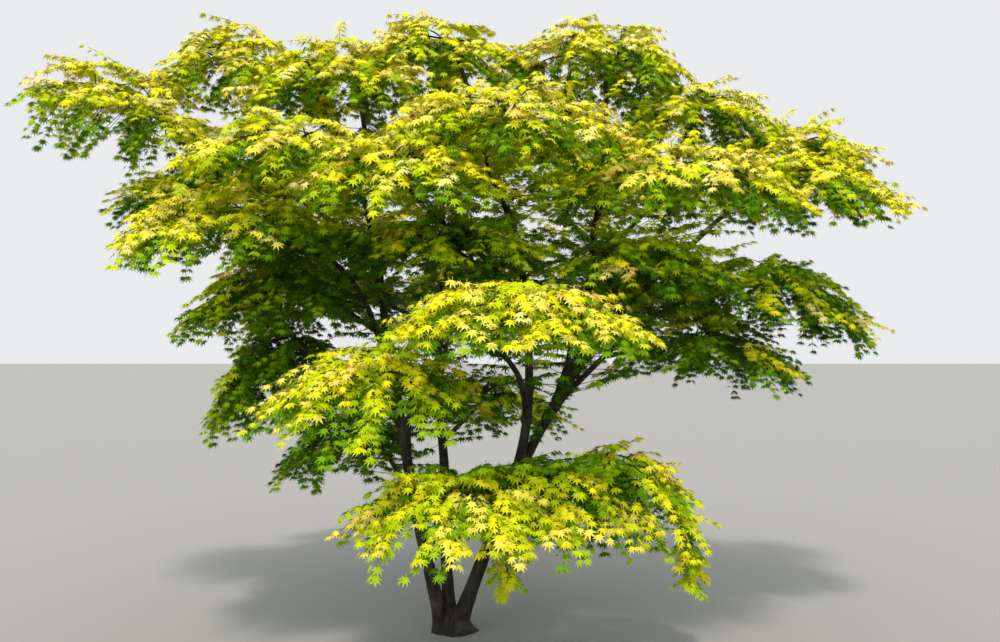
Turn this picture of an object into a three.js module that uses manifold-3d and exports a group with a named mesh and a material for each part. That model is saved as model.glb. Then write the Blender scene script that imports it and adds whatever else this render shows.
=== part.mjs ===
// A many-stemmed Japanese maple with tiered shelves of foliage.
// Millimetres, +Z up. The origin is the middle of the flat cut at ground level.
// Lengths come first, then the tables of stems, foliage masses and boughs that
// drive the tree, and then the functions that grow it from them.

import * as THREE from 'three';
import { mergeVertices } from 'three/addons/utils/BufferGeometryUtils.js';
import Module from 'manifold-3d';

const wasm = await Module();
wasm.setup();

// Gaps and finish of the solids
const CLEARANCE = 0.3;
const LEAST_GAP = 0.2;
const SLIVER = 0.05;
const TWIG_SLIVER = 0.2;

// Root crown: the flared butt that all stems leave
const CROWN = {
  groundRadius: 128, neckRadius: 62, flareFall: 48, height: 120,
  domeTop: 132, domePower: 6, ribs: 5, ribDepth: 0.13, sides: 15, levels: 4,
  stubFrom: 60, stubRise: 250,
};

// Limbs: sides and rings of the tubes, and how they swell and bend
const LIMB = {
  stemSides: 8, stemRings: 10, boughSides: 5, boughRings: 6, handle: 0.35,
  collar: 0.35, collarLength: 2.2, kink: 0.008, kinkWaves: 3, kinkPhase: 2.4,
  taperPower: 0.85, lean: 0.7, steep: 0.9,
};

// Twigs and leaves inside a mass
const TWIG = {
  sides: 3, stops: [0.3, 0.62, 1], sideStart: 13, sideBase: 7, sideTip: 4.5, sway: 0.05,
  entry: -0.72, entryDepth: -0.35, reach: 0.5, reachSpread: 0.04, second: 0.6, angleSpread: 6,
  pairs: [{ part: 0.36, angle: 128 }, { part: 0.55, angle: 84 }, { part: 0.78, angle: 42 }],
};
const LEAF = {
  thick: 6, widest: 0.46, width: 275, widthSpread: 25, slender: 0.85, stalk: 4,
  rim: 1.04, rimSpread: 0.06, rimDepth: -0.1, underRim: 0.98, underDepth: -1.2, between: 21,
  inner: [
    { part: 0.4, angle: 150, out: 0.58, depth: 1.15 }, { part: 0.52, angle: -100, out: 0.6, depth: 1.15 },
    { part: 0.75, angle: 40, out: 0.62, depth: 1.15 }, { part: 0.45, angle: -60, out: 0.52, depth: -1.15 },
  ],
};
const SPACE = { limit: 1.14, flatten: 0.6, bodyShare: 0.8 };

// Bark and foliage colours, and how matt they are
const COLOUR = { bark: '#3a3126', gold: '#d9cf4a', lime: '#a9bf2c', green: '#6f9a24' };
const ROUGHNESS = { bark: 0.9, leaf: 0.6 };

// Stems: foot on the ground or place on another stem, tip as azimuth, distance
// out and height, then azimuth and elevation on leaving and on arriving
const STEMS = [
  { name: 'stem_left', foot: [180, 60], tip: [168, 480, 2450], leave: [180, 76], arrive: [170, 86],
    base: 38, end: 15 },
  { name: 'stem_mid', foot: [118, 48], tip: [100, 620, 2450], leave: [158, 84], arrive: [95, 60],
    base: 36, end: 14 },
  { name: 'stem_right', foot: [-75, 34], tip: [-5, 1135, 1970], leave: [0, 70], arrive: [-4, 42],
    base: 40, end: 15 },
  { name: 'stem_centre', on: 'stem_right', share: 0.325, tip: [-35, 170, 2780], leave: [-20, 68],
    arrive: [175, 70], base: 31, end: 12 },
  { name: 'stem_high', on: 'stem_right', share: 0.67, tip: [4, 850, 2860], leave: [30, 72],
    arrive: [20, 84], base: 25, end: 12 },
];

// Masses: place of the middle as azimuth, distance out and height; heading of
// the stem twig; half length along it, half width, half depth; how far the rim
// and the outer end hang; the limb that carries it and the share along that
// limb, 1 being its tip; the colour; and a seed
const MASSES = [
  ['skirt_front', -87, 1290, 975, -92, 450, 440, 150, 150, 20, 'bough_skirt_front', 1, 'gold', 1],
  ['skirt_right', -70, 1180, 985, -66, 420, 400, 150, 160, 20, 'bough_skirt_right', 1, 'gold', 2],
  ['low_right', -38, 1060, 1010, -34, 390, 390, 160, 310, 30, 'stem_right', 0.42, 'gold', 3],
  ['mid_front', -77, 1457, 1760, -78, 440, 520, 140, 130, 20, 'bough_mid_front', 1, 'gold', 4],
  ['mid_left_front', -105, 1280, 1480, -108, 450, 390, 150, 150, 70, 'bough_mid_left_front', 1,
    'gold', 5],
  ['left_front', 217, 1300, 2210, -142, 540, 480, 170, 190, 20, 'bough_left_front', 1, 'gold', 7],
  ['far_left_top', 183, 1755, 2905, 180, 530, 520, 290, 130, -140, 'bough_far_left', 1, 'gold', 8],
  ['far_left_low', 173, 1420, 2520, 174, 520, 480, 160, 150, 30, 'bough_far_left', 0.5, 'lime', 9],
  ['left_mid', 193, 970, 1955, -168, 480, 480, 190, 250, 50, 'stem_left', 0.66, 'lime', 10],
  ['left_low', 163, 1060, 1660, 165, 430, 460, 250, 540, 50, 'bough_left_low', 1, 'green', 11],
  ['left_low_tip', 160, 650, 1090, 170, 380, 400, 170, 180, 60, 'stem_left', 0.3, 'green', 12],
  ['top_left', 172, 1270, 3245, 165, 440, 450, 250, 210, 0, 'bough_top_left', 1, 'gold', 13],
  ['upper_left_front', -125, 1260, 2520, -122, 430, 420, 150, 120, 30, 'bough_upper_left', 1,
    'gold', 14],
  ['upper_mid_front', -100, 1200, 2380, -98, 410, 420, 150, 120, 30, 'bough_upper_mid', 1,
    'gold', 15],
  ['inner_left', 199, 640, 2190, -160, 480, 500, 180, 120, 30, 'stem_left', 0.74, 'green', 16],
  ['top_mid_left', 194, 640, 3080, -160, 500, 480, 200, 160, 30, 'stem_left', 1, 'gold', 17],
  ['top_centre', 125, 190, 3310, 120, 520, 500, 190, 180, 20, 'stem_centre', 1, 'gold', 18],
  ['top_right', 10, 800, 3270, 25, 540, 540, 190, 180, 40, 'stem_high', 1, 'gold', 19],
  ['centre_front_high', -74, 1000, 2660, -76, 470, 560, 170, 140, 30, 'bough_centre_front', 1,
    'gold', 20],
  ['inner_front', -90, 560, 2120, -95, 430, 500, 150, 110, 20, 'stem_centre', 0.56, 'green', 21],
  ['upper_right', 5, 1390, 2950, 10, 420, 460, 160, 160, 30, 'bough_upper_right', 1, 'gold', 22],
  ['right_high', 9, 2010, 2765, 12, 420, 430, 150, 130, 30, 'bough_right_high', 1, 'gold', 53],
  ['right_far', -7, 1860, 2490, -8, 500, 460, 150, 150, 50, 'stem_right', 1, 'lime', 24],
  ['right_front', -37, 1400, 2420, -42, 540, 520, 160, 160, 40, 'bough_right_front', 1, 'gold', 25],
  ['right_low', 7, 1850, 1960, 8, 540, 520, 200, 240, 110, 'bough_right_low', 1, 'lime', 26],
  ['right_under', 12, 1500, 1640, 15, 540, 520, 200, 220, 60, 'bough_right_low', 0.35, 'green', 27],
  ['right_inner', -25, 1080, 2040, -30, 470, 470, 160, 130, 30, 'stem_right', 0.84, 'green', 28],
  ['back_left_high', 126, 1370, 2850, 126, 540, 540, 190, 190, 50, 'bough_back_left', 1, 'gold', 29],
  ['back_high', 85, 1220, 3050, 86, 540, 560, 190, 190, 40, 'stem_mid', 1, 'gold', 30],
  ['back_right_high', 48, 1510, 2790, 48, 540, 540, 190, 190, 50, 'bough_back_right', 1, 'gold', 31],
  ['back_left_low', 128, 1650, 2070, 128, 540, 540, 190, 220, 50, 'bough_back_left_low', 1,
    'lime', 32],
  ['back_low', 88, 1590, 2100, 88, 540, 560, 190, 220, 50, 'bough_back_low', 1, 'lime', 33],
  ['back_right_low', 46, 1730, 2000, 46, 560, 560, 190, 220, 50, 'bough_back_right_low', 1,
    'lime', 34],
  ['back_skirt', 83, 1180, 1260, 82, 480, 540, 180, 210, 50, 'stem_mid', 0.4, 'lime', 35],
];

// Boughs: name, the limb that carries it, share along that limb, the mass it
// ends in, and its radius at the start and at the tip
const BOUGHS = [
  ['bough_skirt_front', 'stem_mid', 0.2, 'skirt_front', 19, 9],
  ['bough_skirt_right', 'stem_right', 0.24, 'skirt_right', 18, 9],
  ['bough_mid_front', 'stem_centre', 0.22, 'mid_front', 19, 9],
  ['bough_mid_left_front', 'stem_left', 0.34, 'mid_left_front', 19, 9],
  ['bough_left_front', 'stem_left', 0.58, 'left_front', 19, 9],
  ['bough_far_left', 'stem_left', 0.82, 'far_left_top', 17, 9],
  ['bough_left_low', 'stem_left', 0.46, 'left_low', 17, 9],
  ['bough_top_left', 'stem_left', 0.9, 'top_left', 14, 8],
  ['bough_upper_left', 'stem_left', 0.7, 'upper_left_front', 15, 8],
  ['bough_upper_mid', 'stem_centre', 0.5, 'upper_mid_front', 16, 8],
  ['bough_centre_front', 'stem_centre', 0.7, 'centre_front_high', 16, 9],
  ['bough_upper_right', 'stem_high', 0.62, 'upper_right', 14, 8],
  ['bough_right_high', 'stem_high', 0.36, 'right_high', 16, 8],
  ['bough_right_front', 'stem_right', 0.76, 'right_front', 18, 9],
  ['bough_right_low', 'stem_right', 0.58, 'right_low', 19, 9],
  ['bough_back_left', 'stem_mid', 0.84, 'back_left_high', 16, 9],
  ['bough_back_right', 'stem_mid', 0.74, 'back_right_high', 17, 9],
  ['bough_back_left_low', 'stem_mid', 0.62, 'back_left_low', 18, 9],
  ['bough_back_low', 'stem_mid', 0.52, 'back_low', 18, 9],
  ['bough_back_right_low', 'stem_right', 0.55, 'back_right_low', 19, 9],
];

// Small tools
const radians = (degrees) => (degrees * Math.PI) / 180;
const direction = ([azimuth, elevation]) => new THREE.Vector3(
  Math.cos(radians(azimuth)) * Math.cos(radians(elevation)),
  Math.sin(radians(azimuth)) * Math.cos(radians(elevation)),
  Math.sin(radians(elevation)),
);
const polar = ([azimuth, out, up]) => new THREE.Vector3(
  out * Math.cos(radians(azimuth)), out * Math.sin(radians(azimuth)), up,
);
const chance = (i, j, seed) => {
  const value = Math.sin(i * 127.1 + j * 311.7 + seed * 74.7) * 43758.5453;
  return value - Math.floor(value);
};
const vary = (middle, spread, i, j, seed) => middle + spread * (2 * chance(i, j, seed) - 1);

// A closed list of corners and faces as a solid, and a solid as a geometry
function solidOf(corners, faces) {
  const geometry = new THREE.BufferGeometry();
  geometry.setAttribute('position', new THREE.Float32BufferAttribute(corners.flatMap((p) => p.toArray()), 3));
  geometry.setIndex(faces.flat());
  const merged = mergeVertices(geometry);
  return new wasm.Manifold(new wasm.Mesh({
    numProp: 3,
    vertProperties: Float32Array.from(merged.attributes.position.array),
    triVerts: Uint32Array.from(merged.index.array),
  }));
}

function geometryOf(solid) {
  const mesh = solid.getMesh();
  const geometry = new THREE.BufferGeometry();
  geometry.setAttribute('position', new THREE.BufferAttribute(mesh.vertProperties, 3));
  geometry.setIndex(new THREE.BufferAttribute(mesh.triVerts, 1));
  geometry.computeVertexNormals();
  return geometry;
}

// The largest body of a fused or cut solid, cleaned of slivers
function mainBody(solid, sliver = SLIVER) {
  const bodies = solid.simplify(sliver).decompose();
  return bodies.reduce((best, body) => (body.volume() > best.volume() ? body : best));
}

// Rings of equal sides round a chain of points, turned as little as can be
function ringsAlong(points, tangents, radii, sides) {
  let across = Math.abs(tangents[0].z) < LIMB.steep ? new THREE.Vector3(0, 0, 1) : new THREE.Vector3(1, 0, 0);
  return points.map((point, i) => {
    across = across.clone().projectOnPlane(tangents[i]).normalize();
    const beside = tangents[i].clone().cross(across);
    return Array.from({ length: sides }, (_, side) => {
      const angle = (2 * Math.PI * side) / sides;
      return point.clone()
        .addScaledVector(across, radii[i] * Math.cos(angle))
        .addScaledVector(beside, radii[i] * Math.sin(angle));
    });
  });
}

// A skin over rings of points, closed by a flat face at the start and by a
// flat face, or a tip if there is one, at the end
function loft(rings, tip) {
  const sides = rings[0].length;
  const last = (rings.length - 1) * sides;
  const corners = tip ? [...rings.flat(), tip] : rings.flat();
  const faces = [];
  for (let side = 0; side < sides; side += 1) {
    const turn = (side + 1) % sides;
    for (let ring = 0; ring < last; ring += sides) {
      faces.push([ring + side, ring + turn, ring + turn + sides]);
      faces.push([ring + side, ring + turn + sides, ring + side + sides]);
    }
    if (tip) faces.push([last + side, last + turn, corners.length - 1]);
  }
  for (let side = 1; side < sides - 1; side += 1) {
    faces.push([0, side + 1, side]);
    if (!tip) faces.push([last, last + side, last + side + 1]);
  }
  return solidOf(corners, faces);
}

const tube = (...shape) => loft(ringsAlong(...shape));

// The centre line of a limb: a cubic curve between two points and directions,
// with a slight sideways waver that dies out at both ends
function limbPath(start, leave, end, arrive, phase) {
  const span = start.distanceTo(end);
  const curve = new THREE.CubicBezierCurve3(
    start,
    start.clone().addScaledVector(leave, LIMB.handle * span),
    end.clone().addScaledVector(arrive, -LIMB.handle * span),
    end,
  );
  const aside = new THREE.Vector3(start.y - end.y, end.x - start.x, 0).normalize();
  return (share) => curve.getPoint(share).addScaledVector(
    aside,
    LIMB.kink * span * Math.sin(Math.PI * share) ** 2 * Math.sin(LIMB.kinkWaves * Math.PI * share + phase),
  );
}

function tangentAt(path, share) {
  const step = 1e-3;
  return path(Math.min(share + step, 1)).sub(path(Math.max(share - step, 0))).normalize();
}

// Radius of a limb: a taper from base to end, with a collar where it leaves
function limbRadius(limb, share) {
  const taper = limb.base + (limb.end - limb.base) * share ** LIMB.taperPower;
  const along = (share * limb.span) / (LIMB.collarLength * limb.base);
  return taper * (1 + (limb.collared ? LIMB.collar * Math.exp(-along) : 0));
}

function limbSolid(limb, grow) {
  const shares = Array.from({ length: limb.rings + 1 }, (_, i) => (
    limb.from + (1 - limb.from) * (i / limb.rings)
  ));
  return tube(
    shares.map(limb.path),
    shares.map((share) => tangentAt(limb.path, share)),
    shares.map((share) => limbRadius(limb, share) + grow / Math.cos(Math.PI / limb.sides)),
    limb.sides,
  );
}

// Mass coordinates: U along and V across, both 1 at the rim, and depth from -1
// under the shelf to 1 above it. The shelf is a lens whose rim hangs.
function massPoint(mass, U, V, depth) {
  const rho2 = U * U + V * V;
  const along = new THREE.Vector3(Math.cos(mass.heading), Math.sin(mass.heading), 0);
  const across = new THREE.Vector3(-Math.sin(mass.heading), Math.cos(mass.heading), 0);
  const lens = 1 - SPACE.flatten * Math.min(rho2, 1);
  return mass.middle.clone()
    .addScaledVector(along, mass.long * U)
    .addScaledVector(across, mass.wide * V)
    .setZ(mass.middle.z + mass.deep * depth * lens - mass.droop * rho2 - mass.tilt * U);
}

function massCoordinates(mass, point) {
  const offset = point.clone().sub(mass.middle);
  const U = (offset.x * Math.cos(mass.heading) + offset.y * Math.sin(mass.heading)) / mass.long;
  const V = (offset.y * Math.cos(mass.heading) - offset.x * Math.sin(mass.heading)) / mass.wide;
  const rho2 = U * U + V * V;
  const lens = 1 - SPACE.flatten * Math.min(rho2, 1);
  const depth = (offset.z + mass.droop * rho2 + mass.tilt * U) / (mass.deep * lens);
  return { U, V, depth };
}

// How far a point lies from the middle of a mass, 1 being its outer skin
function remoteness(mass, point) {
  const { U, V, depth } = massCoordinates(mass, point);
  return Math.sqrt(U * U + V * V + (SPACE.bodyShare * depth) ** 2);
}

// A mass's own space: inside its skin, and nearer to it than to any other mass
function inOwnSpace(mass, point) {
  const own = remoteness(mass, point);
  return own < SPACE.limit && masses.every((other) => other === mass || remoteness(other, point) > own);
}

// The widest section of a leaf spray: its ridge and its two flat edges
function leafSection(mass, root, tip, width) {
  const outward = tip.clone().sub(root);
  const middle = new THREE.Vector3().lerpVectors(root, tip, LEAF.widest);
  const { U, V, depth } = massCoordinates(mass, middle);
  const level = new THREE.Vector3(-outward.y, outward.x, 0).normalize();
  const edges = [-1, 1].map((side) => {
    const at = massCoordinates(mass, middle.clone().addScaledVector(level, (side * width) / 2));
    return massPoint(mass, at.U, at.V, depth);
  });
  const up = outward.clone().cross(edges[1].clone().sub(edges[0])).normalize();
  return [massPoint(mass, U, V, depth).addScaledVector(up, LEAF.thick), ...edges];
}

// Nothing of the piece comes nearer than the clearance to any of the others
function clearOf(solid, others) {
  const box = solid.boundingBox();
  return others.every((other) => {
    const near = other.box;
    const apart = [0, 1, 2].some((axis) => (
      box.min[axis] > near.max[axis] + CLEARANCE || box.max[axis] < near.min[axis] - CLEARANCE
    ));
    return apart || solid.minGap(other.solid, 2 * CLEARANCE) > LEAST_GAP;
  });
}

const boxed = (solid) => ({ solid, box: solid.boundingBox() });

// The stem twig of a mass, from its limb to well out in the shelf
function leaderPoints(mass) {
  const limb = limbs.get(mass.limb);
  const tangent = tangentAt(limb.path, mass.share);
  const start = limb.path(mass.share);
  const first = Math.max(TWIG.entry, massCoordinates(mass, start).U);
  const stops = TWIG.stops.map((part) => {
    const U = first + (TWIG.reach - first) * part;
    const V = vary(0, TWIG.sway, part, 1, mass.seed);
    return massPoint(mass, U, V, TWIG.entryDepth * (1 - part));
  });
  if (mass.share === 1) start.addScaledVector(tangent, CLEARANCE);
  const points = [start, ...stops];
  const tangents = points.map((_, i) => (
    points[Math.min(i + 1, points.length - 1)].clone().sub(points[Math.max(i - 1, 0)]).normalize()
  ));
  if (mass.share === 1) tangents[0] = tangent;
  return { points, tangents };
}

// A straight twig, from a point inside its parent to the end of its reach, and
// the point where it bears a second leaf spray
function sideTwig(root, end) {
  const toward = end.clone().sub(root).normalize();
  const rings = ringsAlong([root, end], [toward, toward], [TWIG.sideBase, TWIG.sideTip], TWIG.sides);
  return { second: new THREE.Vector3().lerpVectors(root, end, TWIG.second), end, rings };
}

// A mass: its stem twig, pairs of side twigs, and leaf sprays that end the
// twigs or stand on them, each left out where it would leave the mass's space
// or touch another
function growMass(mass, taken) {
  const limb = limbs.get(mass.limb);
  const { points, tangents } = leaderPoints(mass);
  const base = mass.share === 1 ? limb.end : TWIG.sideStart;
  const sideCount = 2 * TWIG.pairs.length;
  const radii = points.map((_, i) => base + ((TWIG.sideTip - base) * i) / (points.length - 1));
  const leaderRings = ringsAlong(points, tangents, radii, TWIG.sides);
  const pieces = [];
  const blades = [];

  // A leaf spray from the last ring of a twig, which may be a leaf stalk only
  const addSpray = (rings, root, angle, rim, depth, i) => {
    const tip = massPoint(mass, rim * Math.cos(angle), rim * Math.sin(angle), depth);
    const width = Math.min(vary(LEAF.width, LEAF.widthSpread, i, 3, mass.seed),
      LEAF.slender * root.distanceTo(tip));
    const section = leafSection(mass, root, tip, width);
    const blade = loft([rings.at(-1), section], tip);
    const fits = [...section, tip].every((point) => inOwnSpace(mass, point))
      && clearOf(blade, taken) && clearOf(blade, blades);
    if (fits) blades.push(boxed(blade));
    if (fits) return loft([...rings, section], tip);
    return rings.length > 1 ? loft(rings) : null;
  };
  const addStalked = (root, angle, rim, depth, i) => {
    const tip = massPoint(mass, rim * Math.cos(angle), rim * Math.sin(angle), depth);
    const toward = tip.sub(root).normalize();
    const piece = addSpray(ringsAlong([root], [toward], [LEAF.stalk], TWIG.sides), root, angle, rim,
      depth, i);
    if (piece) pieces.push(piece);
  };
  const alongLeader = (part) => {
    const at = part * (points.length - 1);
    const index = Math.min(Math.floor(at), points.length - 2);
    return new THREE.Vector3().lerpVectors(points[index], points[index + 1], at - index);
  };

  pieces.push(addSpray(leaderRings, points.at(-1), 0, LEAF.rim, LEAF.rimDepth, 0));
  const sideTwigs = TWIG.pairs.flatMap(({ part, angle }, pair) => [-1, 1].map((side) => {
    const turn = radians(vary(angle, TWIG.angleSpread, pair, side, mass.seed)) * side;
    const out = vary(TWIG.reach, TWIG.reachSpread, pair, side + 5, mass.seed);
    const end = massPoint(mass, out * Math.cos(turn), out * Math.sin(turn), 0);
    return { turn, side, ...sideTwig(alongLeader(part), end) };
  })).filter((twig) => inOwnSpace(mass, twig.end) && clearOf(loft(twig.rings), taken));
  sideTwigs.forEach((twig, i) => {
    const rim = LEAF.rim * vary(1, LEAF.rimSpread, i, 2, mass.seed);
    pieces.push(addSpray(twig.rings, twig.end, twig.turn, rim, LEAF.rimDepth, i + 1));
  });
  sideTwigs.forEach((twig, i) => {
    const rim = LEAF.underRim * vary(1, LEAF.rimSpread, i, 4, mass.seed);
    addStalked(twig.second, twig.turn - radians(LEAF.between) * twig.side, rim, LEAF.underDepth,
      i + 1 + sideCount);
  });
  LEAF.inner.forEach(({ part, angle, out, depth }, i) => {
    addStalked(alongLeader(part), radians(vary(angle, TWIG.angleSpread, i, 6, mass.seed)), out, depth,
      i + 1 + 2 * sideCount);
  });
  let fused = mainBody(pieces.reduce((sum, piece) => sum.add(piece)), TWIG_SLIVER);
  if (mass.share < 1) fused = mainBody(fused.subtract(limbSolid(limb, CLEARANCE)));
  if (!clearOf(fused, taken)) console.error(`${mass.name} touches something`);
  return fused;
}

// Root crown: a ribbed flare that closes over in a dome, fused with the stub
// of each stem that stands in it
function rootCrown(stubs) {
  const corners = [];
  const faces = [];
  for (let level = 0; level <= CROWN.levels; level += 1) {
    const up = (CROWN.height * level) / CROWN.levels;
    const flare = Math.exp(-up / CROWN.flareFall);
    const dome = Math.sqrt(1 - (level / (CROWN.levels + 1)) ** CROWN.domePower);
    for (let side = 0; side < CROWN.sides; side += 1) {
      const angle = (2 * Math.PI * side) / CROWN.sides;
      const rib = 1 + CROWN.ribDepth * flare * Math.cos(CROWN.ribs * angle);
      const radius = (CROWN.neckRadius + (CROWN.groundRadius - CROWN.neckRadius) * flare) * rib * dome;
      corners.push(new THREE.Vector3(radius * Math.cos(angle), radius * Math.sin(angle), up));
    }
  }
  corners.push(new THREE.Vector3(0, 0, 0), new THREE.Vector3(0, 0, CROWN.domeTop));
  const last = CROWN.levels * CROWN.sides;
  for (let side = 0; side < CROWN.sides; side += 1) {
    const next = (side + 1) % CROWN.sides;
    for (let ring = 0; ring < last; ring += CROWN.sides) {
      faces.push([ring + side, ring + next, ring + next + CROWN.sides]);
      faces.push([ring + side, ring + next + CROWN.sides, ring + side + CROWN.sides]);
    }
    faces.push([corners.length - 2, next, side], [corners.length - 1, last + side, last + next]);
  }
  return mainBody(stubs.reduce((sum, stub) => sum.add(stub), solidOf(corners, faces)));
}

// The share of a stem's path at which it stands at a given height
function shareAtHeight(path, height) {
  const halvings = 40;
  let low = 0;
  let high = 1;
  for (let i = 0; i < halvings; i += 1) {
    const half = (low + high) / 2;
    if (path(half).z < height) low = half;
    else high = half;
  }
  return low;
}

const masses = MASSES.map(([
  name, azimuth, out, up, heading, long, wide, deep, droop, tilt, limb, share, colour, seed,
]) => ({
  name, long, wide, deep, droop, tilt, limb, share, colour, seed,
  middle: polar([azimuth, out, up]), heading: radians(heading),
}));

const limbs = new Map();
STEMS.forEach((stem, i) => {
  const start = stem.foot ? polar([...stem.foot, 0]) : limbs.get(stem.on).path(stem.share);
  const path = limbPath(start, direction(stem.leave), polar(stem.tip), direction(stem.arrive), i * LIMB.kinkPhase);
  limbs.set(stem.name, {
    ...stem, path, span: start.distanceTo(polar(stem.tip)), collared: !stem.foot,
    sides: LIMB.stemSides, rings: LIMB.stemRings, from: stem.foot ? shareAtHeight(path, CROWN.stubRise) : 0,
  });
});
BOUGHS.forEach(([name, on, share, massName, base, end], i) => {
  const mass = masses.find((each) => each.name === massName);
  const start = limbs.get(on).path(share);
  const tip = massPoint(mass, TWIG.entry, 0, TWIG.entryDepth);
  const arrive = massPoint(mass, 0, 0, 0).sub(tip).normalize();
  const toward = tip.clone().sub(start).normalize();
  const leave = tangentAt(limbs.get(on).path, share).multiplyScalar(LIMB.lean).add(toward).normalize();
  limbs.set(name, {
    name, on, share, base, end, path: limbPath(start, leave, tip, arrive, i * LIMB.kinkPhase),
    span: start.distanceTo(tip), collared: true, sides: LIMB.boughSides, rings: LIMB.boughRings, from: 0,
  });
});

const tree = new THREE.Group();
function addNode(name, solid, colour) {
  const material = new THREE.MeshStandardMaterial({
    color: COLOUR[colour], roughness: colour === 'bark' ? ROUGHNESS.bark : ROUGHNESS.leaf, metalness: 0,
  });
  const mesh = new THREE.Mesh(geometryOf(solid), material);
  mesh.name = name;
  tree.add(mesh);
}

const grounded = STEMS.filter((stem) => stem.foot).map((stem) => limbs.get(stem.name));
const stubs = grounded.map((stem) => {
  const low = shareAtHeight(stem.path, CROWN.stubFrom);
  const shares = [low, (low + stem.from) / 2, stem.from];
  return tube(
    shares.map(stem.path),
    shares.map((share) => tangentAt(stem.path, share)),
    shares.map((share) => limbRadius(stem, share)),
    stem.sides,
  );
});
addNode('root_crown', rootCrown(stubs), 'bark');
grounded.forEach((stem) => {
  stem.from = shareAtHeight(stem.path, CROWN.stubRise + CLEARANCE);
});

const taken = [];
limbs.forEach((limb) => {
  let solid = limbSolid(limb, 0);
  if (limb.on) solid = mainBody(solid.subtract(limbSolid(limbs.get(limb.on), CLEARANCE)));
  if (!clearOf(solid, taken)) console.error(`${limb.name}: touches another limb`);
  taken.push(boxed(solid));
  addNode(limb.name, solid, 'bark');
});
masses.forEach((mass) => {
  const solid = growMass(mass, taken);
  taken.push(boxed(solid));
  addNode(mass.name, solid, mass.colour);
});

export default tree;
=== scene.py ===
"""A many-stemmed Japanese maple: bark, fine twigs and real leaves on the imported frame.

Metres, +Z up. Limbs and masses repeat the part's named sizes, in millimetres, and
its growing rule is written again here for whole arrays, then carried on to finer
twigs and to leaves.
"""

import math

import bpy
import numpy as np
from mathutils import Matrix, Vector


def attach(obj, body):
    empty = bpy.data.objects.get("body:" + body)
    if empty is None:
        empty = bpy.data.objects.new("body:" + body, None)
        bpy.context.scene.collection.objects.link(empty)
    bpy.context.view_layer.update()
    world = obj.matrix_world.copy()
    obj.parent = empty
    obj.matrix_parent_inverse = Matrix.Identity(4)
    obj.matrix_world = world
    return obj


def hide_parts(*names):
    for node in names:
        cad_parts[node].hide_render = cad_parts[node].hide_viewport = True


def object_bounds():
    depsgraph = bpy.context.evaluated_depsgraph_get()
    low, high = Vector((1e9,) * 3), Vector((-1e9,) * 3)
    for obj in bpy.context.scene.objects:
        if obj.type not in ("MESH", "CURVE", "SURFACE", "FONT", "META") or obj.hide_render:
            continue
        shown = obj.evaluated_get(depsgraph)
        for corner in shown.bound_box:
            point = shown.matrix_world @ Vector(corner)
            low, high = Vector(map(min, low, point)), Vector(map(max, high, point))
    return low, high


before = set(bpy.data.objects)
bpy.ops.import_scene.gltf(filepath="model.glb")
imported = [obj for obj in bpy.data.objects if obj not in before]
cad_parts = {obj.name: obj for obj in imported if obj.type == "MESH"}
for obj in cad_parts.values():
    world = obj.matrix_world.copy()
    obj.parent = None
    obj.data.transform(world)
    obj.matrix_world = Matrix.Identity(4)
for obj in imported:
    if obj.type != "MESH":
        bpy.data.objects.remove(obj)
CAD_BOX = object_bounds()
MM = 0.001
UP = np.array([0.0, 0.0, 1.0])
GOLDEN_ANGLE = 2.39996

# Limbs, as in the part: handles of a curve as a share of its span, size, number
# and phase of its kinks, power of its taper, how much a bough leaves along what
# carries it, and where it enters its mass, along the length and in depth
HANDLE = 0.35
KINK = 0.008
KINK_WAVES = 3
KINK_PHASE = 2.4
TAPER_POWER = 0.85
LEAN = 0.7
ENTRY = -0.72
ENTRY_DEPTH = -0.35

# Twigs, as in the part: how far they reach and how far that varies, sway of the
# stem twig, spread of the side twigs' angles in degrees, stops of the stem twig,
# share and angle of each pair of side twigs, how much thinner the shelf is at its
# rim, and the radius of a stem twig that leaves the side of a limb
REACH = 0.5
REACH_SPREAD = 0.04
SWAY = 0.05
ANGLE_SPREAD = 6
STOPS = (0.3, 0.62, 1.0)
PAIRS = ((0.36, 128), (0.55, 84), (0.78, 42))
FLATTEN = 0.6
SIDE_START = 13 * MM

# Stems: name, foot (azimuth, distance out) or (stem, share), tip (azimuth, out,
# height), leaving and arriving (azimuth, elevation), radii at base and end
STEMS = (
    ("stem_left", (180, 60), (168, 480, 2450), (180, 76), (170, 86), 38, 15),
    ("stem_mid", (118, 48), (100, 620, 2450), (158, 84), (95, 60), 36, 14),
    ("stem_right", (-75, 34), (-5, 1135, 1970), (0, 70), (-4, 42), 40, 15),
    ("stem_centre", ("stem_right", 0.325), (-35, 170, 2780), (-20, 68), (175, 70), 31, 12),
    ("stem_high", ("stem_right", 0.67), (4, 850, 2860), (30, 72), (20, 84), 25, 12),
)

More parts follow.
